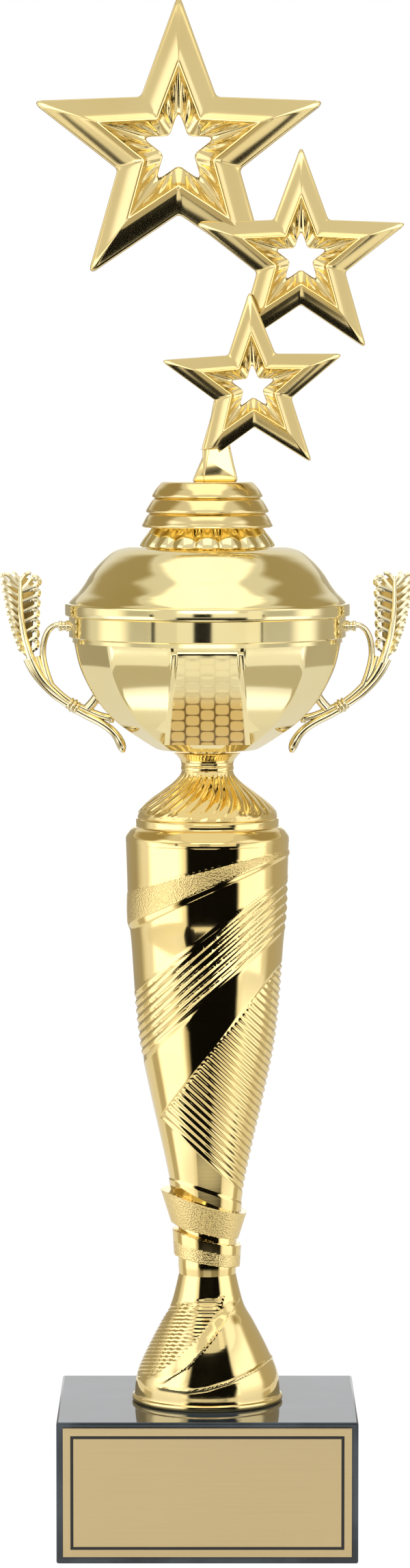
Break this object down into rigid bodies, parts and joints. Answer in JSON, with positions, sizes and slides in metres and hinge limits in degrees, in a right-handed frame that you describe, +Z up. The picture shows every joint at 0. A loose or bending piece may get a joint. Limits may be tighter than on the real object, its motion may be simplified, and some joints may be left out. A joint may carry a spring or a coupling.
{
  "type": "star trophy",
  "caption": "Tall trophy: stone block with a plate, slim column, faceted bowl with leaf handles, and a lift-off lid with a figure of hollow stars.",
  "frame": {"origin": "middle of the underside of the pads, on the column's axis", "axes": "+Z up the column, the plate faces -Y, the handles lie along X"},
  "size_m": [0.104, 0.0728, 0.3945],
  "materials": {
    "felt": "matt",
    "stone": "polished black marble",
    "plate": "satin",
    "tape": "foam tape",
    "steel": "zinc plated",
    "column_gold": "metallised gloss",
    "bowl_gold": "metallised gloss",
    "handle_gold": "metallised gloss",
    "figure_gold": "metallised gloss"
  },
  "bodies": {
    "stand": {"pad_front_left": "felt", "pad_front_right": "felt", "pad_back_left": "felt", "pad_back_right": "felt", "stone_block": "stone", "engraving_plate": "plate", "plate_tape": "tape", "base_washer": "steel", "base_nut": "steel", "tie_rod": "steel", "foot_bell": "column_gold", "wrap_collar": "column_gold", "column_body": "column_gold", "shoulder_cap": "column_gold", "bowl": "bowl_gold", "bowl_washer": "steel", "bowl_nut": "steel", "handle_left": "handle_gold", "handle_right": "handle_gold", "screw_left_upper": "steel", "screw_left_lower": "steel", "screw_right_upper": "steel", "screw_right_lower": "steel"},
    "lid": {"lid": "bowl_gold", "fluted_collar": "bowl_gold", "figure_washer": "steel", "figure_screw": "steel", "figure_nut": "steel", "figure_base": "figure_gold", "star_small": "figure_gold", "star_medium": "figure_gold", "star_large": "figure_gold"}
  },
  "joints": [
    {"name": "lid_lift", "type": "slide", "parent": "stand", "child": "lid", "axis": [0, 0, 1], "range_m": [0, 0.06]}
  ]
}
